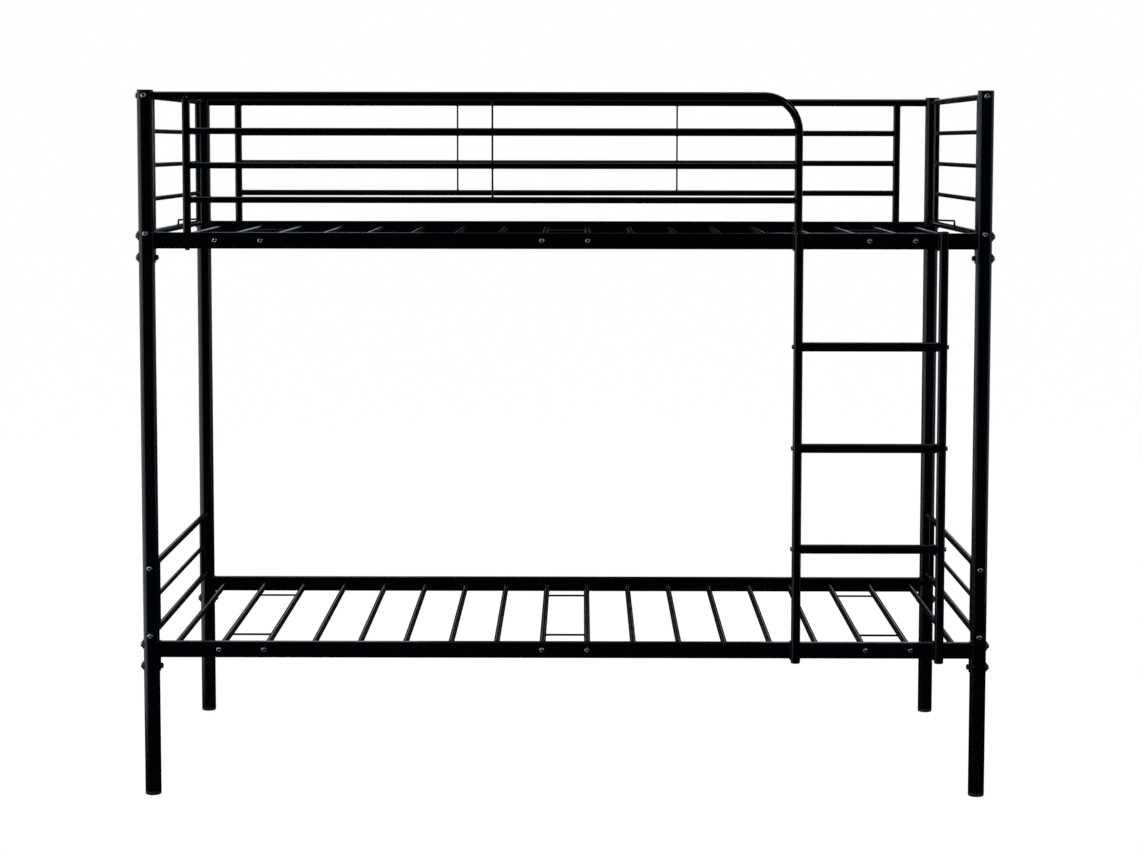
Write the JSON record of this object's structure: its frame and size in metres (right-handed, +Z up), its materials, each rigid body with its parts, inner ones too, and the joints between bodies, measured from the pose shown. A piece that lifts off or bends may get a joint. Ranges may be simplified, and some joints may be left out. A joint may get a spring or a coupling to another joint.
{
  "type": "bunk bed with ladder",
  "caption": "Black steel bunk bed with two slatted single berths one above the other, barred guards on the upper berth and a bolted upright ladder at the front right.",
  "frame": {"origin": "on the floor, under the middle of the bed's box, ladder included", "axes": "+X along the bed to the right-hand end as seen from the ladder's side, +Y from the ladder's side to the back, +Z up"},
  "size_m": [1.996, 0.9956, 1.669],
  "materials": {
    "powder_coat": "gloss",
    "black_plastic": "satin",
    "zinc_bolts": "satin"
  },
  "bodies": {
    "root": {"front_guard": "powder_coat", "ladder_plug_left": "black_plastic", "ladder_plug_right": "black_plastic", "ladder_rung_1": "powder_coat", "ladder_rung_2": "powder_coat", "ladder_rung_3": "powder_coat", "ladder_stile_left": "powder_coat", "ladder_stile_right": "powder_coat", "lower_end_frame_left": "powder_coat", "lower_end_frame_right": "powder_coat", "lower_front_rail": "powder_coat", "lower_rear_rail": "powder_coat", "lower_slat_01": "powder_coat", "lower_slat_04": "powder_coat", "lower_slat_05": "powder_coat", "lower_slat_06": "powder_coat", "lower_slat_07": "powder_coat", "lower_slat_08": "powder_coat", "lower_slat_11": "powder_coat", "lower_slat_12": "powder_coat", "lower_slat_13": "powder_coat", "lower_slat_14": "powder_coat", "lower_slat_15": "powder_coat", "lower_slat_18": "powder_coat", "lower_slat_pair_02_03": "powder_coat", "lower_slat_pair_09_10": "powder_coat", "lower_slat_pair_16_17": "powder_coat", "post_cap_front_left": "black_plastic", "post_cap_front_right": "black_plastic", "post_cap_rear_left": "black_plastic", "post_cap_rear_right": "black_plastic", "post_foot_front_left": "black_plastic", "post_foot_front_right": "black_plastic", "post_foot_rear_left": "black_plastic", "post_foot_rear_right": "black_plastic", "post_front_left": "powder_coat", "post_front_right": "powder_coat", "post_rear_left": "powder_coat", "post_rear_right": "powder_coat", "rear_guard": "powder_coat", "upper_end_frame_left": "powder_coat", "upper_end_frame_right": "powder_coat", "upper_front_rail": "powder_coat", "upper_rear_rail": "powder_coat", "upper_slat_01": "powder_coat", "upper_slat_04": "powder_coat", "upper_slat_05": "powder_coat", "upper_slat_06": "powder_coat", "upper_slat_07": "powder_coat", "upper_slat_08": "powder_coat", "upper_slat_11": "powder_coat", "upper_slat_12": "powder_coat", "upper_slat_13": "powder_coat", "upper_slat_14": "powder_coat", "upper_slat_15": "powder_coat", "upper_slat_18": "powder_coat", "upper_slat_pair_02_03": "powder_coat", "upper_slat_pair_09_10": "powder_coat", "upper_slat_pair_16_17": "powder_coat"}
  },
  "joints": []
}
